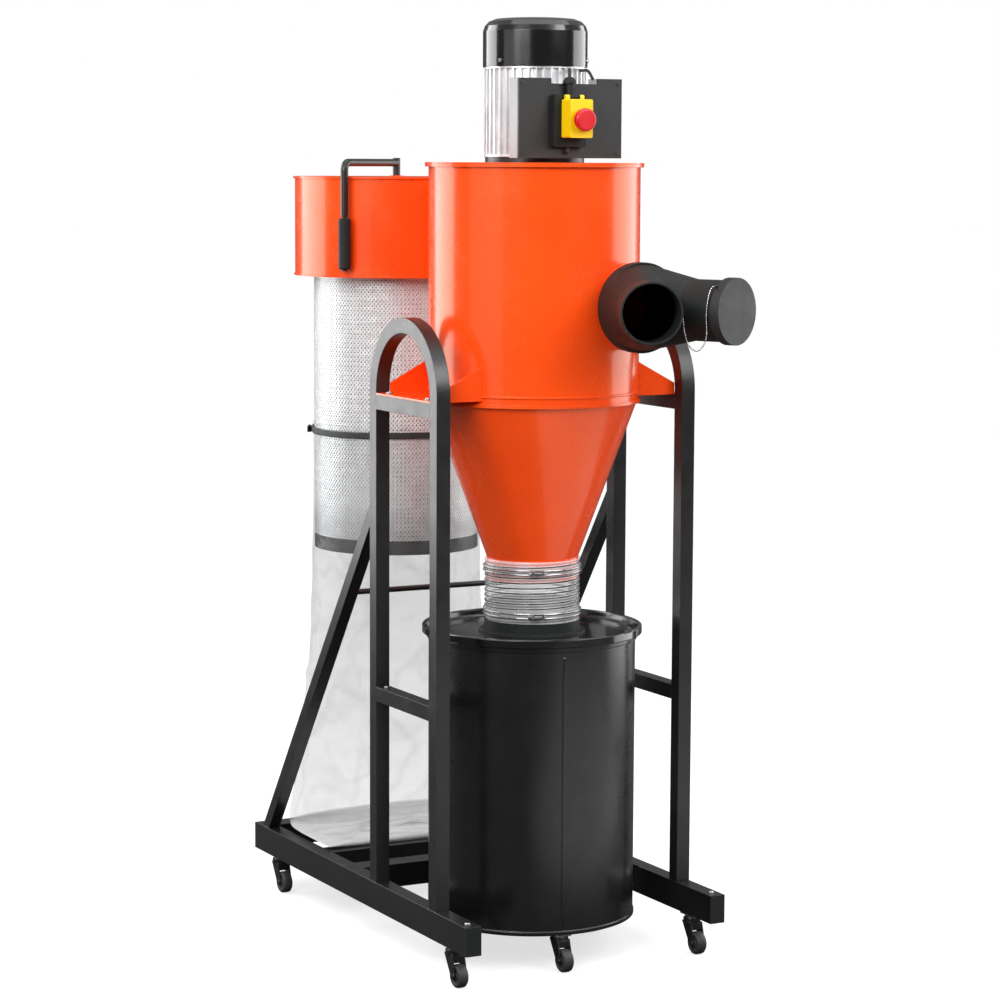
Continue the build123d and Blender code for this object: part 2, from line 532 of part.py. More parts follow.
def fork(x, y, top):
    """Swivel fork with its wheel bolt; the wheel trails toward the front."""
    crown_top = top - PLATE_T - RACE_H - CLEAR
    body = rod(15.0, 53, crown_top) + rod(STEM_R, 53, top - PLATE_T - CLEAR)
    inside = WHEEL_W / 2 + 0.8
    for s in (-1, 1):
        side = make_face(Polyline((0, 14.0, 55), (0, -15.0, 55), (0, -TRAIL - 6.5, 22),
                                  (0, -TRAIL - 3, 14.5), (0, -TRAIL + 4, 14.5),
                                  (0, -TRAIL + 9, 20), close=True))
        body = body + Pos(s * inside, 0, 0) * extrude(side, 2.2, dir=(s, 0, 0))
    body = body + box(-inside - 2.2, inside + 2.2, -11, 11, 51, 55)
    body = body + rod_between((-inside - 4.0, -TRAIL, WHEEL_R),
                              (inside + 4.0, -TRAIL, WHEEL_R), AXLE_R)
    for s in (-1, 1):
        body = body + rod_between((s * (inside + 2.2), -TRAIL, WHEEL_R),
                                  (s * (inside + 4.0), -TRAIL, WHEEL_R), 4.6)
    return Pos(x, y, 0) * body


def caster_wheel(x, y):
    w = WHEEL_W / 2
    prof = make_face(Polyline((AXLE_R + RUNNING, 0, -w), (7.0, 0, -w), (7.5, 0, -w + 1.5),
                              (13.0, 0, -w + 1.5), (14, 0, -w), (WHEEL_R - 3, 0, -w),
                              (WHEEL_R - 0.8, 0, -w + 2), (WHEEL_R, 0, -w + 5),
                              (WHEEL_R, 0, w - 5), (WHEEL_R - 0.8, 0, w - 2),
                              (WHEEL_R - 3, 0, w), (14, 0, w), (13.0, 0, w - 1.5),
                              (7.5, 0, w - 1.5), (7.0, 0, w), (AXLE_R + RUNNING, 0, w),
                              close=True))
    body = revolve(prof, Axis.Z)
    return Pos(x, y - TRAIL, WHEEL_R) * Rot(0, 90, 0) * body


drum_casters = [(DRUM_CASTER_R * cos(radians(a)), DRUM_CASTER_R * sin(radians(a)))
                for a in DRUM_CASTER_ANGLES]
save("frame_caster_plates", *[plate(x, y, BEAM_Z0) for x, y in FRAME_CASTERS])
save("drum_caster_plates", *[plate(x, y, DRUM_Z0, 30.0, 30.0) for x, y in drum_casters])
names = ("front_left", "rear_left", "front_right", "rear_right")
for name, (x, y) in zip(names, FRAME_CASTERS):
    save(f"{name}_fork", fork(x, y, BEAM_Z0))
    save(f"{name}_wheel", caster_wheel(x, y))
for name, (x, y) in zip(("drum_front", "drum_right", "drum_left"), drum_casters):
    save(f"{name}_fork", fork(x, y, DRUM_Z0))
    save(f"{name}_wheel", caster_wheel(x, y))
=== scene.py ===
"""Looks of the two-stage cyclone dust collector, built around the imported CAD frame."""
import math

import bmesh
import bpy
from mathutils import Matrix, Vector, noise


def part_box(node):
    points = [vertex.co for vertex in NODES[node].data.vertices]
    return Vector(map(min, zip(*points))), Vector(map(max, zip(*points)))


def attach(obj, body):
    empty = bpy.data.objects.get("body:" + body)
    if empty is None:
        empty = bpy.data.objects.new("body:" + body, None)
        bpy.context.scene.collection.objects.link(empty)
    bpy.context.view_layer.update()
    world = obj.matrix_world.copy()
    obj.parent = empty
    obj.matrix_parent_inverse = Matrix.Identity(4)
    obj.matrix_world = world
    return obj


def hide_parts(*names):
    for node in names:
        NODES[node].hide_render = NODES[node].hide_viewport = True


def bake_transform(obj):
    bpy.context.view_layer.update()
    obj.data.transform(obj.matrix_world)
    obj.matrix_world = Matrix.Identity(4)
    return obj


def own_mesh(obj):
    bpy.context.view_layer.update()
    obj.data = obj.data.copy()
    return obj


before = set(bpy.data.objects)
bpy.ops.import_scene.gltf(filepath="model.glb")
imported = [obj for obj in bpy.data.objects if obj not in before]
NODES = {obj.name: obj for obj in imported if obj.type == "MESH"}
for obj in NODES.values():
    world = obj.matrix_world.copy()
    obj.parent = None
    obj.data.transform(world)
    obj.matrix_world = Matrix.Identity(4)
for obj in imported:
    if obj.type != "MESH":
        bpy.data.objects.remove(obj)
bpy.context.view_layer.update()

TAU = 2 * math.pi
MM = 0.001


def centre(node):
    """Middle of a CAD node's box."""
    low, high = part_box(node)
    return (low + high) / 2


CYCLONE = centre("cyclone_top_plate")
FILTER = centre("filter_element")
DRUM = centre("drum_body")


# ---------------------------------------------------------------- camera
CAMERA_SPOT = (-2.40943, -4.60752, 1.36860)
CAMERA_TURN = (-27.8664, 6.5621, 0.2594)  # yaw, pitch and roll in degrees
CAMERA_LENS = 105.852


def place_camera():
    """The photographed viewing angle: a long lens, low and to the front left."""
    yaw, pitch, roll = (math.radians(angle) for angle in CAMERA_TURN)
    forward = Vector((-math.sin(yaw) * math.cos(pitch), math.cos(yaw) * math.cos(pitch),
                      -math.sin(pitch)))
    right = Vector((math.cos(yaw), math.sin(yaw), 0))
    up = right.cross(forward)
    right, up = (right * math.cos(roll) + up * math.sin(roll),
                 up * math.cos(roll) - right * math.sin(roll))
    data = bpy.data.cameras.new("camera")
    data.sensor_width = 36.0
    data.lens = CAMERA_LENS
    data.clip_end = 60
    camera = bpy.data.objects.new("camera", data)
    bpy.context.scene.collection.objects.link(camera)
    turn = Matrix((right, up, -forward)).transposed().to_4x4()
    camera.matrix_world = Matrix.Translation(CAMERA_SPOT) @ turn
    bpy.context.scene.camera = camera


place_camera()


# ---------------------------------------------------------------- materials
class Graph:
    """A material's node tree with one Principled shader."""

    def __init__(self, name):
        self.material = bpy.data.materials.new(name)
        self.material.use_nodes = True
        self.tree = self.material.node_tree
        self.tree.nodes.clear()
        output = self.add("OutputMaterial")
        self.shader = self.add("BsdfPrincipled")
        self.link(self.shader.outputs[0], output.inputs[0])
        self.place = self.add("TexCoord").outputs["Object"]

    def add(self, kind):
        return self.tree.nodes.new("ShaderNode" + kind)

    def link(self, source, target):
        self.tree.links.new(source, target)

    def noise(self, scale, detail=3.0, rough=0.5):
        """Soft cloudy noise, with the given number of features in a metre."""
        node = self.add("TexNoise")
        node.inputs["Scale"].default_value = scale
        node.inputs["Detail"].default_value = detail
        node.inputs["Roughness"].default_value = rough
        self.link(self.place, node.inputs["Vector"])
        return node.outputs["Fac"]

    def spread(self, value, low, high, to_low=0.0, to_high=1.0):
        """The value stretched from low...high to to_low...to_high, and kept within them."""
        node = self.add("MapRange")
        for name, number in (("From Min", low), ("From Max", high),
                             ("To Min", to_low), ("To Max", to_high)):
            node.inputs[name].default_value = number
        self.link(value, node.inputs["Value"])
        return node.outputs["Result"]

    def math(self, operation, a, b):
        node = self.add("Math")
        node.operation = operation
        for socket, value in zip(node.inputs, (a, b)):
            if isinstance(value, (int, float)):
                socket.default_value = value
            else:
                self.link(value, socket)
        return node.outputs[0]

    def mix(self, share, a, b):
        """Colour a, going over to b as the share rises to 1."""
        node = self.add("Mix")
        node.data_type = "RGBA"
        self.link(share, node.inputs["Factor"])
        for name, value in (("A", a), ("B", b)):
            socket = [s for s in node.inputs if s.name == name and s.type == "RGBA"][0]
            if isinstance(value, tuple):
                socket.default_value = (*value, 1.0)
            else:
                self.link(value, socket)
        return [s for s in node.outputs if s.type == "RGBA"][0]

    def bump(self, height, distance, normal=None):
        """Relief of the given depth in metres, on top of another normal."""
        node = self.add("Bump")
        node.inputs["Distance"].default_value = distance
        self.link(height, node.inputs["Height"])
        if normal is not None:
            self.link(normal, node.inputs["Normal"])
        return node.outputs[0]

    def rounded(self, radius):
        """A normal that rounds sharp edges over the radius."""
        node = self.add("Bevel")
        node.samples = 4
        node.inputs["Radius"].default_value = radius
        return node.outputs[0]

    def edges(self, rounded):
        """1 along sharp edges and 0 on open faces."""
        node = self.add("VectorMath")
        node.operation = "DOT_PRODUCT"
        self.link(rounded, node.inputs[0])
        self.link(self.add("NewGeometry").outputs["Normal"], node.inputs[1])
        return self.spread(node.outputs["Value"], 0.995, 0.86)

    def set(self, **values):
        """Constants on the shader's sockets."""
        for name, value in values.items():
            self.shader.inputs[name.replace("_", " ")].default_value = value


JOINT_WIDTH = 0.0022
JOINT_SHADOW = (0.004, 0.004, 0.004)


def surface(name, tint, second, rough, grain, edge=None, patch=7.0, smudge=26.0,
            radius=0.0007, dust=None, behind=None, **fixed):
    """A material: two tints in soft patches, edges lightened partly by wear and partly as a painted
    highlight, varied roughness and a fine relief.

    Grain is a list of (features in a metre, depth). Edge and dust are (colour, share). Behind is
    (y of the joint, colour) for a box whose back shell has another colour than its front.
    """
    g = Graph(name)
    patches = g.spread(g.noise(patch, 4.0, 0.55), 0.35, 0.68)
    colour = g.mix(patches, tint, second)
    normal = None
    if radius:
        normal = g.rounded(radius)
        # lighter colour along sharp edges: partly paint worn thin, partly a painted highlight where
        # a rounded edge would catch the light
        if edge:
            edge_wear_and_highlight, share = edge
            broken = g.spread(g.noise(85.0, 4.0, 0.6), 0.42, 0.62, 0.15, 1.0)
            edge_wear_and_highlight_share = g.math("MULTIPLY", g.math("MULTIPLY", g.edges(normal), broken), share)
            colour = g.mix(edge_wear_and_highlight_share, colour, edge_wear_and_highlight)
    if dust:
        tone, share = dust
        specks = g.spread(g.noise(160.0, 5.0, 0.7), 0.55, 0.75)
        film = g.spread(g.noise(5.0, 3.0, 0.6), 0.4, 0.75)
        colour = g.mix(g.math("MULTIPLY", g.math("MULTIPLY", specks, film), share), colour, tone)
    if behind:
        plane, back = behind
        depth = g.add("SeparateXYZ")
        g.link(g.place, depth.inputs[0])
        shell = plane + JOINT_WIDTH
        gap = g.spread(depth.outputs["Y"], plane, plane + 0.0003)
        past = g.spread(depth.outputs["Y"], shell, shell + 0.0004)
        colour = g.mix(gap, colour, JOINT_SHADOW)
        colour = g.mix(past, colour, back)
    g.link(colour, g.shader.inputs["Base Color"])
    low, high = rough
    streaks = g.noise(smudge, 5.0, 0.62)
    g.link(g.spread(streaks, 0.3, 0.72, low, high), g.shader.inputs["Roughness"])
    for scale, height in grain:
        normal = g.bump(g.noise(scale, 2.0, 0.5), height, normal)
    g.link(normal, g.shader.inputs["Normal"])
    g.set(**fixed)
    return g.material


# Pale tint of the bag's folded tail: partly the layered film, partly a painted reflection of film
# seen at a low angle.
TAIL_TINT_AND_REFLECTION = (0.7, 0.705, 0.71)


def film(name, tint, second, alpha, rough, creases, tail=None, snug=None):
    """Clear plastic sheet, milkier in patches and along its creases.

    Tail is (height where it is full, height where it ends, opacity) for the layers that lie folded
    at the bottom; their higher opacity and paler tint are partly the folded layers and partly a
    painted reflection of the flat film seen at a low angle. Snug is (start height, full height,
    share of the opacity) for the stretch that clings to what is in the bag.
    """
    g = Graph(name)
    haze = g.spread(g.noise(9.0, 5.0, 0.6), 0.35, 0.7)
    colour = g.mix(haze, tint, second)
    g.link(g.spread(g.noise(22.0, 4.0, 0.6), 0.3, 0.7, *rough), g.shader.inputs["Roughness"])
    normal = None
    for scale, height in creases:
        normal = g.bump(g.noise(scale, 3.0, 0.55), height, normal)
    g.link(normal, g.shader.inputs["Normal"])
    ridged = g.math("ABSOLUTE", g.math("SUBTRACT", g.noise(6.0, 2.0, 0.5), 0.5), 0.0)
    milky = g.spread(ridged, 0.05, 0.0, 0.0, 0.3)
    cover = g.math("MULTIPLY", g.math("ADD", milky, g.spread(haze, 0.0, 1.0, 0.85, 1.15)), alpha)
    # tail: opacity and pale tint rise towards the bottom, partly for the folded layers, partly as
    # painted reflection
    if tail:
        apart = g.add("SeparateXYZ")
        g.link(g.place, apart.inputs[0])
        height = apart.outputs["Z"]
        low = g.spread(height, tail[1], tail[0], 0.0, tail[2])
        cling = g.spread(height, snug[0], snug[1], 1.0, snug[2])
        cover = g.math("MAXIMUM", g.math("MULTIPLY", cover, cling), low)
        colour = g.mix(low, colour, TAIL_TINT_AND_REFLECTION)
    g.link(colour, g.shader.inputs["Base Color"])
    g.link(cover, g.shader.inputs["Alpha"])
    g.set(IOR=1.45)
    return g.material


WAVES_PER_METRE = 0.314


def woven(name, tint, second, pitch, depth, rough, sheen=0.25):
    """Cloth or webbing: crossed threads at the given pitch."""
    g = Graph(name)
    height = None
    for axis in ("X", "Y", "Z"):
        wave = g.add("TexWave")
        wave.bands_direction = axis
        wave.inputs["Scale"].default_value = WAVES_PER_METRE / pitch
        wave.inputs["Distortion"].default_value = 0.6
        wave.inputs["Detail Scale"].default_value = 30.0
        g.link(g.place, wave.inputs["Vector"])
        thread = wave.outputs["Fac"]
        height = thread if height is None else g.math("ADD", height, thread)
    threads = g.spread(height, 0.6, 2.4)
    patches = g.noise(14.0, 4.0, 0.6)
    g.link(g.mix(g.math("MULTIPLY", threads, patches), tint, second),
           g.shader.inputs["Base Color"])
    g.link(g.spread(patches, 0.3, 0.7, *rough), g.shader.inputs["Roughness"])
    normal = g.bump(g.noise(900.0, 2.0, 0.6), 0.00012, g.bump(threads, depth))
    g.link(normal, g.shader.inputs["Normal"])
    g.set(Sheen_Weight=sheen, Sheen_Roughness=0.5)
    return g.material


BOX_FRONT_DEPTH = 0.0045
# The edge colours below are lighter than the paint: partly wear, partly a painted edge highlight.
MATERIALS = {
    "frame_tube": surface(
        "frame_powder_coat", (0.005, 0.005, 0.0055), (0.009, 0.009, 0.0095), (0.27, 0.4),
        [(520.0, 0.00016), (1900.0, 0.00005)], edge=((0.11, 0.11, 0.115), 0.5),
        dust=((0.12, 0.115, 0.105), 0.05), radius=0.0016, Coat_Weight=0.15, Coat_Roughness=0.2),
    "cyclone_paint": surface(
        "orange_powder_coat", (0.9, 0.074, 0.006), (0.85, 0.062, 0.005), (0.2, 0.31),
        [(300.0, 0.00005), (1700.0, 0.00002)], edge=((0.86, 0.14, 0.04), 0.2),
        dust=((0.8, 0.3, 0.15), 0.012), radius=0.0012, Coat_Weight=0.35, Coat_Roughness=0.09,
        Specular_Tint=(1.0, 0.8, 0.45, 1)),
    "bare_steel": surface(
        "zinc_plated_steel", (0.55, 0.56, 0.58), (0.34, 0.35, 0.37), (0.18, 0.42),
        [(800.0, 0.00006)], edge=((0.8, 0.8, 0.8), 0.5), patch=40.0, smudge=90.0,
        Metallic=1.0),
    "motor_alloy": surface(
        "cast_aluminium", (0.80, 0.80, 0.81), (0.66, 0.665, 0.68), (0.28, 0.46),
        [(900.0, 0.00003)], edge=((0.95, 0.95, 0.95), 0.6), patch=30.0,
        Metallic=0.75),
    "black_cover": surface(
        "gloss_black_cover", (0.0028, 0.0028, 0.003), (0.005, 0.005, 0.0055), (0.12, 0.2),
        [(330.0, 0.00009)], edge=((0.05, 0.05, 0.05), 0.3), dust=((0.1, 0.1, 0.1), 0.04),
        radius=0.0012, Coat_Weight=0.7, Coat_Roughness=0.05),
    "box_plastic": surface(
        "grained_grey_plastic", (0.011, 0.011, 0.0118), (0.017, 0.017, 0.018), (0.5, 0.64),
        [(1500.0, 0.00022), (480.0, 0.00008)], edge=((0.12, 0.12, 0.12), 0.4),
        dust=((0.14, 0.14, 0.13), 0.15), radius=0.0014),
    "box_shell": surface(
        "control_box", (0.011, 0.011, 0.0118), (0.017, 0.017, 0.018), (0.42, 0.56),
        [(1500.0, 0.00016), (480.0, 0.00006)], edge=((0.1, 0.1, 0.1), 0.4),
        dust=((0.14, 0.14, 0.13), 0.1), radius=0.0014,
        behind=(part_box("electrical_box")[0].y + BOX_FRONT_DEPTH, (0.34, 0.34, 0.345))),
    "black_plastic": surface(
        "moulded_black_plastic", (0.0125, 0.0145, 0.014), (0.017, 0.019, 0.0185), (0.42, 0.58),
        [(1300.0, 0.00018), (300.0, 0.00007)], edge=((0.1, 0.1, 0.1), 0.4),
        dust=((0.13, 0.125, 0.12), 0.1), radius=0.0011, Specular_IOR_Level=0.2),
    "yellow_plastic": surface(
        "yellow_abs", (0.92, 0.6, 0.0), (0.86, 0.53, 0.0), (0.26, 0.38),
        [(1100.0, 0.00007)], edge=((1.0, 0.78, 0.2), 0.5), Coat_Weight=0.2),
    "red_plastic": surface(
        "red_abs", (0.62, 0.002, 0.01), (0.54, 0.002, 0.008), (0.28, 0.4),
        [(1100.0, 0.00007)], edge=((0.95, 0.12, 0.1), 0.5), Coat_Weight=0.2),
    "green_plastic": surface(
        "green_abs", (0.02, 0.35, 0.06), (0.015, 0.28, 0.05), (0.28, 0.4),
        [(1100.0, 0.00007)], edge=((0.1, 0.5, 0.15), 0.5), Coat_Weight=0.2),
    "drum_paint": surface(
        "drum_black_paint", (0.0028, 0.0028, 0.003), (0.005, 0.005, 0.0055), (0.25, 0.34),
        [(700.0, 0.00002), (1900.0, 0.00001)], edge=((0.1, 0.1, 0.1), 0.35),
        dust=((0.1, 0.098, 0.09), 0.01), radius=0.0012, Coat_Weight=0.3, Coat_Roughness=0.2),
    "lid_paint": surface(
        "lid_black_paint", (0.0028, 0.0028, 0.003), (0.005, 0.005, 0.0055), (0.15, 0.24),
        [(60.0, 0.00016), (1500.0, 0.00003)], edge=((0.1, 0.1, 0.1), 0.4),
        dust=((0.1, 0.098, 0.09), 0.015), radius=0.0012, Coat_Weight=0.6, Coat_Roughness=0.08),
    "strap_web": woven("strap_webbing", (0.008, 0.008, 0.009), (0.024, 0.024, 0.025),
                       0.0016, 0.0003, (0.4, 0.55), sheen=0.04),
    "cable_rubber": surface(
        "cable_rubber", (0.011, 0.011, 0.012), (0.018, 0.018, 0.019), (0.4, 0.55),
        [(900.0, 0.0001)], radius=0.0003),
    "chain_steel": surface(
        "nickel_bead", (0.72, 0.72, 0.74), (0.55, 0.55, 0.57), (0.14, 0.3),
        [(1500.0, 0.00003)], patch=60.0, radius=0.0002, Metallic=1.0),
    "wheel_rubber": surface(
        "caster_tread", (0.02, 0.02, 0.022), (0.036, 0.036, 0.038), (0.5, 0.68),
        [(1200.0, 0.0002)], edge=((0.1, 0.1, 0.1), 0.4), dust=((0.2, 0.19, 0.17), 0.3),
        patch=60.0),
    "filter_cloth": woven("pleated_filter_cloth", (0.66, 0.675, 0.68), (0.83, 0.85, 0.855),
                          0.0012, 0.0003, (0.75, 0.9)),
    "clear_film": film("bag_film", (0.2, 0.205, 0.21), (0.36, 0.365, 0.37), 0.14, (0.14, 0.3),
                       [(34.0, 0.004), (130.0, 0.0009)], tail=(0.131, 0.139, 0.8),
                       snug=(0.7, 0.74, 0.35)),
    "clear_hose": film("hose_vinyl", (0.86, 0.865, 0.87), (0.95, 0.95, 0.95), 0.26, (0.05, 0.16),
                       [(70.0, 0.0005)]),
    "mesh_wire": surface(
        "galvanised_mesh", (0.89, 0.91, 0.915), (0.75, 0.765, 0.77), (0.3, 0.45),
        [(900.0, 0.00005)], patch=50.0, radius=0.0002, Metallic=0.35),
    "hose_wire": surface(
        "hose_helix", (0.05, 0.05, 0.052), (0.025, 0.025, 0.026), (0.2, 0.35),
        [(900.0, 0.00005)], patch=50.0, radius=0.0002, Metallic=0.6),
}


OWN_LOOK = {"electrical_box": "box_shell", "drum_lid": "lid_paint"}


def dress_nodes():
    """Every CAD node takes the material of its slot, or its own look."""
    for node in NODES.values():
        for place in node.material_slots:
            key = OWN_LOOK.get(node.name, place.material.name.split(".")[0])
            place.link = "OBJECT"
            place.material = MATERIALS[key]


dress_nodes()


# ---------------------------------------------------------------- mesh helpers
def make(name, points, faces, material, body=None, slot=None, replaced=(), smooth=True):
    """A new piece from points and faces in the row frame."""
    mesh = bpy.data.meshes.new(name)
    mesh.from_pydata([tuple(p) for p in points], [], faces)
    mesh.validate()
    for polygon in mesh.polygons:
        polygon.use_smooth = smooth
    tidy = bmesh.new()
    tidy.from_mesh(mesh)
    bmesh.ops.recalc_face_normals(tidy, faces=tidy.faces)
    tidy.to_mesh(mesh)
    tidy.free()
    mesh.materials.append(MATERIALS[material])
    piece = bpy.data.objects.new(name, mesh)
    bpy.context.scene.collection.objects.link(piece)
    if replaced:
        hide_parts(*replaced)
    if body:
        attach(piece, body)
    return piece


def grid_faces(rows, columns, start=0, wrap=True):
    """Quads between rows of points; wrap joins each row's last point to its first."""
    faces = []
    last = columns if wrap else columns - 1
    for i in range(rows - 1):
        for j in range(last):
            k = (j + 1) % columns
            a, b = start + i * columns, start + (i + 1) * columns
            faces.append((a + j, a + k, b + k, b + j))
    return faces


def closed_faces(rows, columns):
    """Quads between points in rows that close on themselves both ways."""
    faces = []
    for i in range(rows):
        k = (i + 1) % rows
        for j in range(columns):
            m = (j + 1) % columns
            faces.append((i * columns + j, k * columns + j, k * columns + m, i * columns + m))
    return faces


def wall_faces(edge, columns, behind):
    """Quads from a row of points starting at edge to the row that lies behind it."""
    faces = []
    for j in range(columns):
        k = (j + 1) % columns
        faces.append((edge + j, edge + k, behind + edge + k, behind + edge + j))
    return faces


def facing(degrees):
    """A direction around the vertical: its angle, the way out and the way along."""
    turn = math.radians(degrees)
    out = Vector((math.cos(turn), math.sin(turn), 0))
    return turn, out, Vector((-out.y, out.x, 0))


def level(node):
    """Height of the middle of a CAD node's box."""
    return centre(node).z


def frames_along(line):
    """Two directions square to the line at each of its points, turning as little as possible."""
    steps = [(b - a).normalized() for a, b in zip(line, line[1:])]
    steps.append(steps[-1])
    side = steps[0].orthogonal().normalized()
    result = []
    for step in steps:
        side = (side - step * side.dot(step)).normalized()
        result.append((side, step.cross(side)))
    return result


def tube(line, radius, sides=8, closed_ends=True, start=0):
    """Points and faces of a round tube along a line."""
    points, faces = [], grid_faces(len(line), sides, start)
    for spot, (u, v) in zip(line, frames_along(line)):
        for j in range(sides):
            a = TAU * j / sides
            points.append(spot + (u * math.cos(a) + v * math.sin(a)) * radius)
    if closed_ends:
        faces.append(tuple(start + j for j in reversed(range(sides))))
        faces.append(tuple(start + (len(line) - 1) * sides + j for j in range(sides)))
    return points, faces


def rounded_box(size, centre_spot, turn, bevel):
    """Points and faces of a box with rounded edges, turned about the vertical axis."""
    work = bmesh.new()
    bmesh.ops.create_cube(work, size=1.0)
    bmesh.ops.scale(work, vec=size, verts=work.verts)
    bmesh.ops.bevel(work, geom=list(work.edges), offset=bevel, segments=3, affect="EDGES",
                    profile=0.6)
    place = Matrix.Translation(centre_spot) @ Matrix.Rotation(turn, 4, "Z")
    work.verts.ensure_lookup_table()
    points = [place @ v.co for v in work.verts]
    faces = [tuple(v.index for v in f.verts) for f in work.faces]
    work.free()
    return points, faces


def joined(*parts):
    """Several (points, faces) as one."""
    points, faces = [], []
    for more, sides in parts:
        start = len(points)
        points += list(more)
        faces += [tuple(start + i for i in side) for side in sides]
    return points, faces


def smoothstep(x, low, high):
    """0 up to low and 1 from high on, with an easy change between."""
    t = min(1.0, max(0.0, (x - low) / (high - low)))
    return t * t * (3 - 2 * t)


# ---------------------------------------------------------------- bead chain
def nurbs_line(route):
    """The smooth line that a NURBS spline with these control points follows."""
    data = bpy.data.curves.new("route", "CURVE")
    data.dimensions = "3D"
    data.resolution_u = 24
    spline = data.splines.new("NURBS")
    spline.points.add(len(route) - 1)
    for point, spot in zip(spline.points, route):
        point.co = (*spot, 1.0)
    spline.order_u = 3
    spline.use_endpoint_u = True
    holder = bpy.data.objects.new("route", data)
    bpy.context.scene.collection.objects.link(holder)
    bpy.context.view_layer.update()
    mesh = bpy.data.meshes.new_from_object(holder)
    line = [v.co.copy() for v in mesh.vertices]
    bpy.data.objects.remove(holder)
    bpy.data.meshes.remove(mesh)
    return line


def at_steps(line, step):
    """Points every step along the line, with its two ends."""
    found, walked, due = [line[0]], 0.0, step
    for a, b in zip(line, line[1:]):
        run = (b - a).length
        while walked + run >= due:
            found.append(a.lerp(b, (due - walked) / run))
            due += step
        walked += run
    return found + [line[-1]], walked


CHAIN_ROUTE = [(0.098, -0.48734, 1.139), (0.098, -0.49704, 1.139), (0.101, -0.50304, 1.078),
               (0.112, -0.52304, 1.058), (0.12563, -0.53293, 1.080), (0.11725, -0.53992, 1.127),
               (0.12938, -0.53400, 1.1694), (0.13303, -0.54223, 1.1694)]
BEAD_R, BEAD_STEP, LINK_R = 0.0016, 0.0042, 0.0006
BEAD_RINGS, BEAD_SIDES = 5, 10


def build_chain():
    """Round beads on a thin link wire, from the wye's tab to the cap's lug."""
    line = nurbs_line(CHAIN_ROUTE)
    beads, length = at_steps(line, BEAD_STEP)
    points, faces = tube(line, LINK_R, 6)
    for spot, (u, v) in zip(beads, frames_along(beads)):
        w = u.cross(v)
        start, rings, around = len(points), BEAD_RINGS, BEAD_SIDES
        points.append(spot - w * BEAD_R)
        for i in range(1, rings):
            lift = -math.cos(math.pi * i / rings) * BEAD_R
            r = math.sin(math.pi * i / rings) * BEAD_R
            for j in range(around):
                a = TAU * j / around
                points.append(spot + w * lift + (u * math.cos(a) + v * math.sin(a)) * r)
        points.append(spot + w * BEAD_R)
        top = len(points) - 1
        faces += grid_faces(rings - 1, around, start + 1)
        for j in range(around):
            k = (j + 1) % around
            faces.append((start, start + 1 + k, start + 1 + j))
            faces.append((top, top - around + j, top - around + k))
    chain = make("bead_chain", points, faces, "chain_steel", replaced=["cap_chain"])
    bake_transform(chain)


build_chain()


# ---------------------------------------------------------------- drum hose
def build_hose():
    """Clear ribbed hose with its wire helix, squeezed flat under the two clamps."""
    low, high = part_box("drum_hose")
    clamp_zs = [level(n) for n in ("upper_hose_clamp", "lower_hose_clamp")]
    turns, around, per_turn = 12, 144, 12
    tall = high.z - low.z
    outer, wall, rib, wire_r = high.x - CYCLONE.x, 0.0007, 0.0011, 0.0013
    pitch = tall / turns

    def free(z):
        """0 under a clamp and 1 away from both."""
        return min(smoothstep(abs(z - c), 0.006, 0.013) for c in clamp_zs)

    rows = turns * per_turn + 1
    points = []
    for skin in (0.0, wall):
        for i in range(rows):
            z = low.z + tall * i / (rows - 1)
            for j in range(around):
                a = TAU * j / around
                wave = math.cos(TAU * ((z - low.z) / pitch) - a)
                sag = rib * (1 - wave) * (0.25 + 0.75 * free(z))
                r = outer - sag - skin
                points.append((CYCLONE.x + r * math.cos(a), CYCLONE.y + r * math.sin(a), z))
    faces = grid_faces(rows, around) + grid_faces(rows, around, rows * around)
    for edge in (0, (rows - 1) * around):
        faces += wall_faces(edge, around, rows * around)
    hose = make("drum_hose_vinyl", points, faces, "clear_hose", "frame", "clear_hose",
                ["drum_hose"])
    line = []
    per_turn = 96
    for i in range((turns - 1) * per_turn + 1):
        a = TAU * i / per_turn
        z = low.z + pitch * (a / TAU) + 0.002
        r = outer - wire_r - 0.0001
        line.append(Vector((CYCLONE.x + r * math.cos(a), CYCLONE.y + r * math.sin(a), z)))
    helix = make("drum_hose_helix", *tube(line, wire_r, 8), "hose_wire", "frame", "clear_hose")
    for piece in (hose, helix):
        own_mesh(piece)


build_hose()


# ---------------------------------------------------------------- hose clamps
def loop(middle, radius, wire, sides=8, steps=128):
    """A closed wire ring lying flat."""
    turns = [TAU * i / steps for i in range(steps)]
    line = [middle + Vector((radius * math.cos(a), radius * math.sin(a), 0)) for a in turns]
    points = []
    for spot in line:
        out = (spot - middle).normalized()
        for j in range(sides):
            t = TAU * j / sides
            points.append(spot + out * (wire * math.cos(t)) + Vector((0, 0, wire * math.sin(t))))
    return points, closed_faces(steps, sides)


CLAMP_TURN = -112  # degrees from +X, where the screws are
CLAMP_R, CLAMP_WIRE, CLAMP_RISE = 0.0845, 0.0013, 0.0036
LUG_R, LUG_ASIDE, LUG_SIZE = 0.0885, 0.0085, (0.0075, 0.0042, 0.0105)
SCREW_R, SCREW_HEAD_R = 0.0019, 0.0036


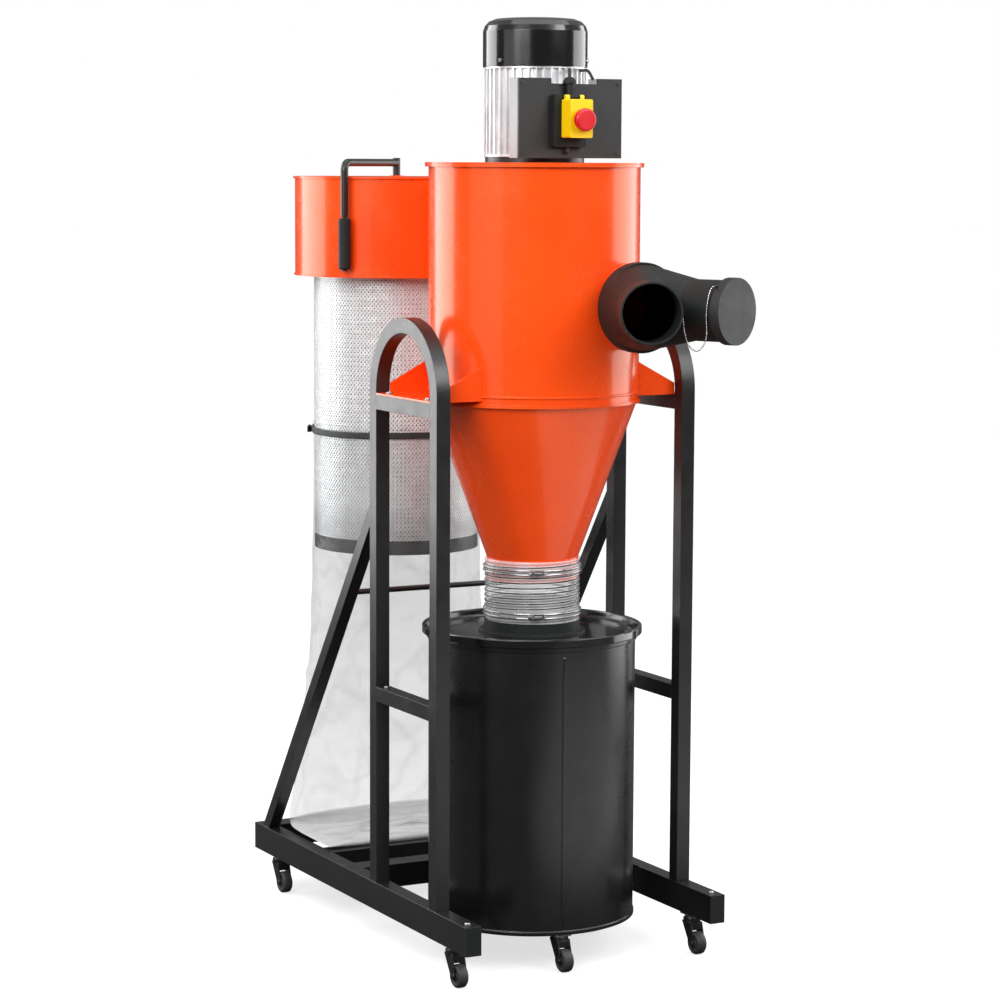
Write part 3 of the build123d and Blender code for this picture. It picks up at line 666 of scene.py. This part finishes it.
def build_clamps():
    """Double-wire hose clamps, each drawn up by a screw between two lugs."""
    turn, out, along = facing(CLAMP_TURN)
    rise = Vector((0, 0, CLAMP_RISE))
    for node, body in (("upper_hose_clamp", "frame"), ("lower_hose_clamp", "lid")):
        middle = Vector((CYCLONE.x, CYCLONE.y, level(node)))
        parts = [loop(middle + rise, CLAMP_R, CLAMP_WIRE), loop(middle - rise, CLAMP_R, CLAMP_WIRE)]
        seat = middle + out * LUG_R
        for side in (-1, 1):
            parts.append(rounded_box(LUG_SIZE, seat + along * (side * LUG_ASIDE), turn, 0.001))
        screw = seat + out * 0.0012
        parts.append(tube([screw - along * 0.0135, screw + along * 0.015], SCREW_R, 12))
        parts.append(tube([screw - along * 0.0165, screw - along * 0.0133], SCREW_HEAD_R, 6))
        make(node + "_wires", *joined(*parts), "bare_steel", body, "bare_steel", [node],
             smooth=False)


build_clamps()


# ---------------------------------------------------------------- filter element
PLEATS, PLEAT_IN, PLEAT_SWING = 130, 0.0047, 0.0027
LINING_IN = 0.008  # from the element's outside to the inside of the cloth
STRANDS, STRAND_WIDTH, STRAND_THICK = 136, 0.0026, 0.0007
MESH_IN, MESH_END_GAP, MESH_SLOPE = 0.0014, 0.001, 1.2


def around_filter(radius, angle, z):
    """A point at a radius from the filter's axis."""
    return (FILTER.x + radius * math.cos(angle), FILTER.y + radius * math.sin(angle), z)


def build_pleats():
    """The pleated cloth of the cartridge, a little uneven from pleat to pleat."""
    low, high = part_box("filter_element")
    outer = high.x - FILTER.x
    per_pleat, rows = 8, 25
    columns = PLEATS * per_pleat
    angles = [TAU * j / columns for j in range(columns)]
    heights = [low.z + (high.z - low.z) * i / (rows - 1) for i in range(rows)]
    points = []
    for z in heights:
        for a in angles:
            lean = 0.35 * noise.noise(Vector((math.cos(a) * 3, math.sin(a) * 3, z * 5)))
            wave = math.cos(a * PLEATS + lean * 2.0)
            points.append(around_filter(outer - PLEAT_IN + PLEAT_SWING * wave, a, z))
    points += [around_filter(outer - LINING_IN, a, z) for z in heights for a in angles]
    half = rows * columns
    faces = grid_faces(rows, columns) + grid_faces(rows, columns, half)
    for edge in (0, (rows - 1) * columns):
        faces += wall_faces(edge, columns, half)
    make("filter_pleats", points, faces, "filter_cloth", "frame", "filter_cloth",
         ["filter_element"])


def build_mesh():
    """The diamond mesh over the cloth: two sets of flat strands that cross."""
    low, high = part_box("filter_element")
    outer, steps = high.x - FILTER.x, 24
    travel = (high.z - low.z) / MESH_SLOPE / outer
    half_turn = STRAND_WIDTH / 2 / outer
    section = ((0, -1), (0, 1), (STRAND_THICK, 1), (STRAND_THICK, -1))
    points, faces = [], []
    for direction in (-1, 1):
        seat = outer - MESH_IN + (0.55 * STRAND_THICK if direction > 0 else 0.0)
        for s in range(STRANDS):
            start = len(points)
            for i in range(steps + 1):
                t = i / steps
                a = TAU * s / STRANDS + direction * travel * t
                z = low.z + MESH_END_GAP + (high.z - low.z - 2 * MESH_END_GAP) * t
                for r, side in section:
                    points.append(around_filter(seat + r, a + side * half_turn, z))
            faces += grid_faces(steps + 1, 4, start)
            faces.append((start + 3, start + 2, start + 1, start))
            end = start + steps * 4
            faces.append((end, end + 1, end + 2, end + 3))
    make("filter_mesh", points, faces, "mesh_wire", "frame", "filter_cloth", smooth=False)


build_pleats()
build_mesh()


# ---------------------------------------------------------------- dust bag
# sections down the bag, in mm: middle behind the filter axis, height, lean of the
# section, half width, half depth, and how loose the film is there
BAG = [(0, 884, 0, 158.5, 158.5, 0.0), (0, 874, 0, 157.0, 157.0, 0.0),
       (0, 862, 0, 157.0, 157.0, 0.0), (0, 835, 0, 158.3, 158.3, 0.35),
       (0, 627, 0, 161, 160, 0.45), (0, 480, 0, 170, 148, 0.8), (0, 340, 0, 189, 124, 1.0),
       (4, 225, 0, 208, 92, 1.0), (8, 160, 4, 217, 66, 0.8), (2, 130, 30, 219, 32, 0.6),
       (-38, 123.5, 80, 219.5, 8, 0.55), (-75, 122.6, 88, 219.5, 6, 0.5),
       (-125, 122, 90, 219.5, 5, 0.5), (-171, 121.6, 90, 219.5, 4.2, 0.3)]


BAG_TOP, BAG_DROP, LOWEST = 884, 762, 117.3
FLAT_NONE, FLAT_FULL = 205, 130  # heights between which the tail goes over to lying flat
GATHER_Z, GATHER_REACH = 862, 26.0
HEM_Z = 872


def eased(values, t):
    """Catmull-Rom between rows of numbers."""
    i = min(int(t), len(values) - 2)
    f = t - i
    rows = [values[min(max(k, 0), len(values) - 1)] for k in (i - 1, i, i + 1, i + 2)]
    return [0.5 * (2 * b + (c - a) * f + (2 * a - 5 * b + 4 * c - d) * f * f
                   + (3 * b - a - 3 * c + d) * f ** 3) for a, b, c, d in zip(*rows)]


def ridge(x, y, z):
    """Thin raised creases, from 0 to 1."""
    return (1 - min(1.0, abs(noise.noise(Vector((x, y, z)))) * 3.2)) ** 2


def close_end(mesh, end, around):
    """Join the two halves of the last ring of points, as the bag's bottom seam does."""
    half = around // 2
    work = bmesh.new()
    work.from_mesh(mesh)
    work.verts.ensure_lookup_table()
    ring = [work.verts[end + j] for j in range(around)]
    for j in range(1, half - 1):
        work.faces.new((ring[j], ring[j + 1], ring[around - j - 1], ring[around - j]))
    work.faces.new((ring[0], ring[1], ring[around - 1]))
    work.faces.new((ring[half], ring[half + 1], ring[half - 1]))
    bmesh.ops.recalc_face_normals(work, faces=work.faces)
    for face in work.faces:
        face.smooth = True
    work.to_mesh(mesh)
    work.free()


def build_bag():
    """The clear bag: creased film that hangs from the strap and lies folded at its tail."""
    around, per_section = 224, 14
    rows = (len(BAG) - 1) * per_section + 1
    points = []
    for i in range(rows):
        back, z, lean, a, b, loose = eased(BAG, i / per_section)
        lean = math.radians(lean)
        for j in range(around):
            t = TAU * j / around
            c, s = math.cos(t), math.sin(t)
            outward = Vector((c * b, -s * a * math.cos(lean), s * a * math.sin(lean)))
            outward.normalize()
            spot = Vector((a * c, back - b * s * math.cos(lean), z + b * s * math.sin(lean)))
            down = (BAG_TOP - z) / BAG_DROP
            soft = noise.noise(Vector((c * 1.6, s * 1.6, z / 150.0)))
            folds = math.sin(t * 9 + 2.5 * soft + z / 210.0) * (1 - down) * 1.5
            gather = (math.sin(t * 31 + 3 * soft) * 1.2
                      * math.exp(-((z - GATHER_Z) / GATHER_REACH) ** 2))
            crease = ridge(c * 1.3 + z / 420.0, s * 1.3, z / 120.0 + c * 0.8)
            small = ridge(c * 3.1, s * 3.1 + z / 160.0, z / 60.0) * 0.5
            depth = loose * (3.2 * soft - 5.2 + 5.0 * crease + 2.4 * small + folds)
            flat = smoothstep(z, FLAT_NONE, FLAT_FULL)
            if flat > 0:
                rumple = noise.noise(Vector((spot.x / 55.0, spot.y / 38.0, 4.2)))
                fold = ridge(spot.x / 130.0, spot.y / 60.0, 9.1)
                lift = max(0.0, 3.0 + 6.0 * rumple + 5.0 * fold) if s > 0 else 0.6
                edge = min(1.0, (1 - abs(c)) * 5.0)
                depth = depth * (1 - flat) + flat * lift * edge * (loose + 0.3) * abs(s)
            if z > HEM_Z:
                depth += math.sin(t * 37 + 4 * soft) * 1.3 * smoothstep(z, HEM_Z + 1, BAG_TOP)
            spot += outward * (depth + gather)
            points.append((FILTER.x + spot.x * MM, FILTER.y + spot.y * MM,
                           max(spot.z, LOWEST) * MM))
    faces = grid_faces(rows, around)
    bag = make("dust_bag_film", points, faces, "clear_film", replaced=["dust_bag"])
    close_end(bag.data, (rows - 1) * around, around)
    skin = bag.modifiers.new("film", "SOLIDIFY")
    skin.thickness = 0.00025
    skin.offset = -1
    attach(bag, "frame")


build_bag()


# ---------------------------------------------------------------- bag strap
STRAP_IN, STRAP_THICK = 0.1577, 0.0021
LATCH_TURN = 155  # degrees from +X


def build_strap():
    """Webbing band drawn round the bag's neck."""
    low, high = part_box("bag_strap")
    mid, half = (low.z + high.z) / 2, (high.z - low.z) / 2 - 0.0008
    around = 240
    profile = [(0, -1), (0, 1), (0.35, 1.0), (0.85, 0.93), (1.0, 0.8), (1.0, 0.25), (0.9, 0.0),
               (1.0, -0.25), (1.0, -0.8), (0.85, -0.93), (0.35, -1.0)]
    points = []
    for j in range(around):
        a = TAU * j / around
        sway = 0.0008 * math.sin(3 * a + 0.6)
        for out, up in profile:
            points.append(around_filter(STRAP_IN + STRAP_THICK * out, a, mid + sway + up * half))
    make("bag_band", points, closed_faces(around, len(profile)), "strap_web", "frame",
         "strap_web", ["bag_strap"])


build_strap()


def build_latch():
    """Over-centre latch on the strap: base plate, lever and hinge pin."""
    turn, out, along = facing(LATCH_TURN)
    axis = Vector((FILTER.x, FILTER.y, level("bag_strap")))
    base = rounded_box((0.0022, 0.021, 0.0115), axis + out * 0.1609, turn, 0.0006)
    lever = rounded_box((0.0034, 0.015, 0.0128), axis + out * 0.1648 - along * 0.001, turn,
                        0.0011)
    tip = rounded_box((0.0052, 0.0042, 0.0118), axis + out * 0.1652 + along * 0.0085, turn,
                      0.0012)
    spot, half_pin = axis + out * 0.1633 - along * 0.009, Vector((0, 0, 0.0068))
    pin = tube([spot - half_pin, spot + half_pin], 0.0014, 14)
    make("bag_latch", *joined(base, lever, tip, pin), "black_cover", "frame", "strap_web",
         smooth=False)


build_latch()


# ---------------------------------------------------------------- inlet sleeve, painted shade in the bore
SLEEVE_R, SLEEVE_WALL, SLEEVE_LENGTH = 0.0718, 0.0024, 0.105
INLET_X, INLET_Z, SLEEVE_FRONT = 0.098, 1.127, 0.198


def build_shade_sleeve():
    """A black sleeve pushed into the barrel's inlet, put there as painted shade so that the wye's
    bore looks dark.
    """
    mouth = Vector((INLET_X, CYCLONE.y - SLEEVE_FRONT, INLET_Z))
    bore = SLEEVE_R - SLEEVE_WALL
    profile = [(SLEEVE_R, 0.0), (SLEEVE_R, SLEEVE_LENGTH),
               ((SLEEVE_R + bore) / 2, SLEEVE_LENGTH + 0.001), (bore, SLEEVE_LENGTH), (bore, 0.0)]
    around = 96
    points = []
    for j in range(around):
        a = TAU * j / around
        for r, depth in profile:
            points.append((mouth.x + r * math.cos(a), mouth.y + depth, mouth.z + r * math.sin(a)))
    # black plastic lining that paints the shade deep inside the bore
    make("inlet_shade_sleeve", points, closed_faces(around, len(profile)), "black_plastic", "frame",
         "black_plastic")


build_shade_sleeve()


# ---------------------------------------------------------------- caster bridges
CROWN_R = 0.015
BRIDGE_WIDTH, BRIDGE_THICK, BRIDGE_ROUND = 0.0186, 0.0024, 0.0009
NUT_R, NUT_TALL, NUT_TOP = 0.0052, 0.0042, 0.0515


def build_bridges():
    """The pressed bridge that joins each fork's cheeks above the wheel, and its king-pin nut."""
    for name in sorted(NODES):
        if not name.endswith("_fork"):
            continue
        x, crown_y = centre(name).x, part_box(name)[1].y - CROWN_R
        plates = []
        for offset, z, tall in ((-0.0155, 0.0478, 0.0125), (0.0035, 0.0465, 0.012)):
            plates.append(rounded_box((BRIDGE_WIDTH, BRIDGE_THICK, tall),
                                      Vector((x, crown_y + offset, z)), 0.0, BRIDGE_ROUND))
        nut_top = Vector((x, crown_y, NUT_TOP))
        nut = tube([nut_top - Vector((0, 0, NUT_TALL)), nut_top], NUT_R, 6)
        make(name.replace("_fork", "_bridge"), *joined(*plates, nut), "frame_tube", name,
             "frame_tube", smooth=False)


build_bridges()


# ---------------------------------------------------------------- drum seam
SEAM_TURN = -100.5  # degrees from +X
DRUM_R, SEAM_HALF, SEAM_HIGH, SEAM_ROOT = 0.1794, 0.0038, 0.0009, 0.0008
SEAM_FOOT, SEAM_ENDS = 0.010, 0.021  # gap under the seam, and both its end gaps together


def build_seam():
    """The drum's rolled side seam, a low rib that fades out at both ends."""
    low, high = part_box("drum_body")
    rows, columns = 40, 9
    points = []
    for i in range(rows):
        z = low.z + SEAM_FOOT + (high.z - low.z - SEAM_ENDS) * i / (rows - 1)
        ends = min(1.0, i / 3.0, (rows - 1 - i) / 3.0)
        steps = [(j / (columns - 1) - 0.5) * 2 for j in range(columns)]
        outline = [(across, SEAM_HIGH * (1 - across ** 4) * ends - 0.0002) for across in steps]
        outline += [(across, -SEAM_ROOT) for across in reversed(steps)]
        for across, lift in outline:
            a = math.radians(SEAM_TURN) + across * SEAM_HALF / DRUM_R
            points.append((DRUM.x + (DRUM_R + lift) * math.cos(a),
                           DRUM.y + (DRUM_R + lift) * math.sin(a), z))
    faces = grid_faces(rows, 2 * columns)
    faces.append(tuple(reversed(range(2 * columns))))
    faces.append(tuple((rows - 1) * 2 * columns + j for j in range(2 * columns)))
    make("drum_side_seam", points, faces, "drum_paint", "drum", "drum_paint")


build_seam()


# ---------------------------------------------------------------- stage and light
BACKDROP = 1.0
FLOOR_HALF = 60.0
FLOOR_GLOW = 0.69  # what the camera sees on top of the light that falls on the floor
THROWN_BACK = (0.06, 0.06, 0.06)


def build_stage():
    """A plain white floor, which throws back less light than the camera sees on it."""
    floor = Graph("studio_floor")
    tone = floor.spread(floor.noise(1.4, 2.0, 0.5), 0.3, 0.7)
    seen = floor.mix(tone, (0.34, 0.34, 0.34), (0.36, 0.36, 0.36))
    camera_ray = floor.add("LightPath").outputs["Is Camera Ray"]
    floor.link(floor.mix(camera_ray, THROWN_BACK, seen), floor.shader.inputs["Base Color"])
    floor.link(floor.math("MULTIPLY", camera_ray, FLOOR_GLOW),
               floor.shader.inputs["Emission Strength"])
    floor.set(Roughness=0.9, Specular_IOR_Level=0.1, Emission_Color=(1, 1, 1, 1))
    mesh = bpy.data.meshes.new("studio_floor")
    corners = ((-1, -1), (1, -1), (1, 1), (-1, 1))
    mesh.from_pydata([(x * FLOOR_HALF, y * FLOOR_HALF, 0) for x, y in corners], [], [(0, 1, 2, 3)])
    mesh.materials.append(floor.material)
    ground = bpy.data.objects.new("studio_floor", mesh)
    bpy.context.scene.collection.objects.link(ground)


def build_world():
    """A pale backdrop for the camera; for the light, a dim studio that is brighter overhead."""
    world = bpy.data.worlds.new("studio")
    world.use_nodes = True
    tree = world.node_tree
    room = tree.nodes["Background"]
    way = tree.nodes.new("ShaderNodeSeparateXYZ")
    tree.links.new(tree.nodes.new("ShaderNodeTexCoord").outputs["Generated"], way.inputs[0])
    rise = tree.nodes.new("ShaderNodeMapRange")
    for name, number in (("From Min", -0.1), ("From Max", 0.9), ("To Min", 0.06), ("To Max", 0.5)):
        rise.inputs[name].default_value = number
    tree.links.new(way.outputs["Z"], rise.inputs["Value"])
    tree.links.new(rise.outputs["Result"], room.inputs["Strength"])
    room.inputs["Color"].default_value = (1, 1, 1, 1)
    backdrop = tree.nodes.new("ShaderNodeBackground")
    backdrop.inputs["Color"].default_value = (BACKDROP, BACKDROP, BACKDROP, 1)
    either = tree.nodes.new("ShaderNodeMixShader")
    tree.links.new(tree.nodes.new("ShaderNodeLightPath").outputs["Is Camera Ray"],
                   either.inputs["Fac"])
    tree.links.new(room.outputs[0], either.inputs[1])
    tree.links.new(backdrop.outputs[0], either.inputs[2])
    tree.links.new(either.outputs[0], tree.nodes["World Output"].inputs["Surface"])
    bpy.context.scene.world = world


def place_lamp(name, data, bearing, height, distance, aim_z):
    """A lamp at a compass bearing from the object, in degrees from +X."""
    lamp = bpy.data.objects.new(name, data)
    bpy.context.scene.collection.objects.link(lamp)
    turn = math.radians(bearing)
    spot = Vector((distance * math.cos(turn), distance * math.sin(turn), height))
    away = spot - Vector((0, 0, aim_z))
    lamp.matrix_world = Matrix.Translation(spot) @ away.to_track_quat("Z", "Y").to_matrix().to_4x4()
    lamp.visible_camera = False


AIM_Z = 0.85


def panel(name, size, glow):
    """A rectangular light whose surface has the given brightness."""
    data = bpy.data.lights.new(name, "AREA")
    data.shape = "RECTANGLE"
    data.size, data.size_y = size
    data.energy = glow * math.pi * size[0] * size[1]
    return data


def soft_box(name, bearing, height, distance, size, glow):
    """A soft light that faces the object."""
    place_lamp(name, panel(name, size, glow), bearing, height, distance, AIM_Z)


def reflector(name, bearing, distance, size, glow):
    """A bright card lying on the floor."""
    card = bpy.data.objects.new(name, panel(name, size, glow))
    bpy.context.scene.collection.objects.link(card)
    turn = math.radians(bearing)
    spot = Vector((distance * math.cos(turn), distance * math.sin(turn), 0.01))
    card.matrix_world = (Matrix.Translation(spot) @ Matrix.Rotation(turn, 4, "Z")
                         @ Matrix.Rotation(math.pi, 4, "X"))
    card.visible_camera = False


SKY_GLOW, SKY_SPREAD = 1.6, 80


def build_lights():
    """Tall soft boxes at both sides for the barrel's highlights, two high keys and a sky."""
    soft_box("left_box", 131, 1.45, 2.1, (1.6, 2.2), 4.3)
    soft_box("left_fill", 192, 1.3, 3.2, (2.2, 1.4), 0.8)
    soft_box("right_box", -4, 1.2, 3.0, (2.8, 2.8), 3.0)
    soft_box("left_key", -145, 2.65, 3.3, (2.2, 1.9), 8.8)
    soft_box("right_key", -66, 2.8, 3.4, (2.2, 1.8), 6.2)
    reflector("floor_card", -66, 1.95, (2.1, 2.4), 0.95)
    sky = bpy.data.lights.new("sky", "SUN")
    sky.energy = SKY_GLOW
    sky.angle = math.radians(SKY_SPREAD)
    place_lamp("sky", sky, -60, 5.0, 1.0, 0.0)
    bpy.context.scene.view_settings.view_transform = "Standard"


build_stage()
build_world()
build_lights()
